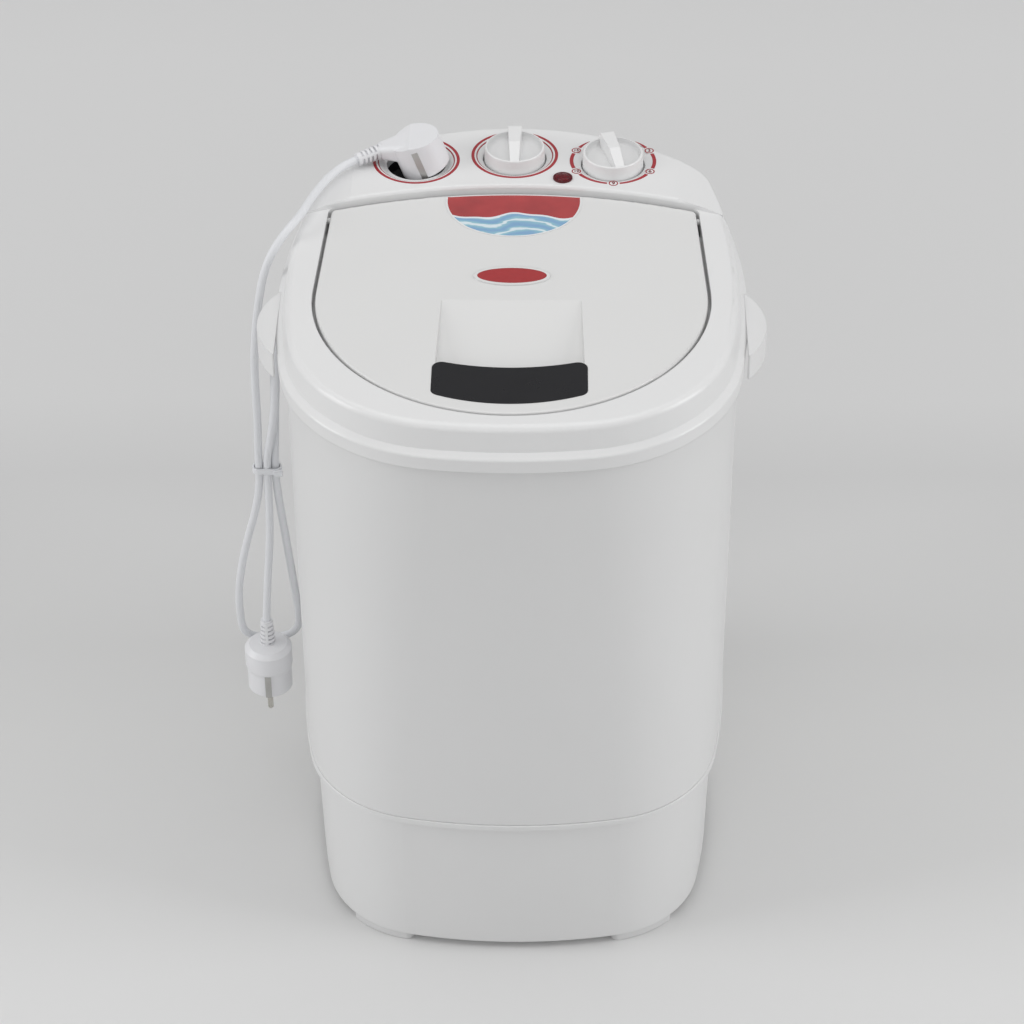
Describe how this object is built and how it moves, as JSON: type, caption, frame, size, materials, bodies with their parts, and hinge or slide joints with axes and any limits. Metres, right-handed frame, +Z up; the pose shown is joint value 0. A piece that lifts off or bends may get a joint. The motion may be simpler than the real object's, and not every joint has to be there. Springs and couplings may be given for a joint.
{
  "type": "mini washing machine",
  "caption": "Compact top-loading wash tub machine with a tapered round body, hinged lid with grip bar, rear console with dials, and mains cords.",
  "frame": {"origin": "centre of the footprint on the floor, under the middle of the machine's box without its cords", "axes": "+Z up; -Y towards the front where the lid is gripped; +X to the right seen from the front"},
  "size_m": [0.422, 0.411, 0.5692],
  "materials": {
    "shell_white": "glossy moulded plastic",
    "casing_white": "glossy moulded plastic",
    "tub_white": "moulded polypropylene",
    "black_gloss": "glossy black plastic",
    "knob_white": "glossy moulded plastic",
    "red_gloss": "glossy red plastic",
    "label_film": "printed film",
    "lamp_red": "clear red plastic lens",
    "chrome_ring": "plated ring",
    "foot_rubber": "off-white soft plastic",
    "control_body": "black moulded housing",
    "pulley_plastic": "moulded nylon",
    "steel": "zinc plated steel",
    "motor_steel": "painted steel",
    "bronze": "sintered bronze",
    "rubber_black": "black rubber",
    "hose_grey": "grey rubber hose",
    "cord_white": "soft plastic sheath",
    "plug_white": "soft plastic",
    "pin_metal": "nickel plated brass"
  },
  "bodies": {
    "cabinet": {"cover": "shell_white", "casing": "casing_white", "base": "casing_white", "bottom_plate": "tub_white", "foot_front_left": "foot_rubber", "foot_front_right": "foot_rubber", "foot_rear_left": "foot_rubber", "foot_rear_right": "foot_rubber", "tub": "tub_white", "bearing_housing": "control_body", "bushes": "bronze", "seal": "rubber_black", "belt": "rubber_black", "motor_bracket": "steel", "motor": "motor_steel", "motor_grommets": "rubber_black", "capacitor": "tub_white", "capacitor_clip": "steel", "drain_hose": "hose_grey", "drain_spigot": "tub_white", "drain_cap": "tub_white", "inlet_cup": "tub_white", "timer": "control_body", "selector": "control_body", "control_screws": "steel", "lamp_lens": "lamp_red", "lamp_bezel": "chrome_ring", "lamp_holder": "control_body", "cover_screws": "steel", "gland_upper": "cord_white", "gland_lower": "cord_white", "cord_a": "cord_white", "cord_b": "cord_white", "plug_upper": "plug_white", "plug_upper_pins": "pin_metal", "plug_upper_strips": "pin_metal", "plug_lower": "plug_white", "plug_lower_pins": "pin_metal", "plug_lower_strips": "pin_metal", "cord_tie": "plug_white", "bracket_bolts": "steel", "motor_bolts": "steel", "housing_bolts": "steel", "plate_screws": "steel", "base_screws": "steel"},
    "lid": {"lid": "shell_white", "grip_bar": "black_gloss", "badge": "red_gloss", "label": "label_film"},
    "selector_knob": {"selector_knob": "knob_white", "selector_shaft": "steel"},
    "timer_knob": {"timer_knob": "knob_white", "timer_shaft": "steel"},
    "pulsator": {"pulsator": "knob_white", "pulsator_screw": "steel", "axle": "steel", "pulley_large": "pulley_plastic", "axle_nut": "steel"},
    "rotor": {"motor_shaft": "steel", "pulley_small": "pulley_plastic"}
  },
  "joints": [
    {"name": "lid_hinge", "type": "hinge", "parent": "cabinet", "child": "lid", "pos_m": [0, 0.077, 0.532], "axis": [-1, 0, 0], "range_deg": [0, 100]},
    {"name": "selector_turn", "type": "hinge", "parent": "cabinet", "child": "selector_knob", "pos_m": [0, 0.155, 0.544], "axis": [0, 0, 1], "range_deg": [-45, 45]},
    {"name": "timer_turn", "type": "hinge", "parent": "cabinet", "child": "timer_knob", "pos_m": [0.0775, 0.1465, 0.544], "axis": [0, 0, -1], "range_deg": [0, 285]},
    {"name": "pulsator_spin", "type": "hinge", "parent": "cabinet", "child": "pulsator", "pos_m": [0, -0.0335, 0.16], "axis": [0, 0, 1], "continuous": true},
    {"name": "motor_spin", "type": "hinge", "parent": "cabinet", "child": "rotor", "pos_m": [0, 0.0915, 0.05], "axis": [0, 0, 1], "continuous": true}
  ],
  "couplings": [
    {"joint": "motor_spin", "follows": "pulsator_spin", "ratio": 4.4}
  ]
}
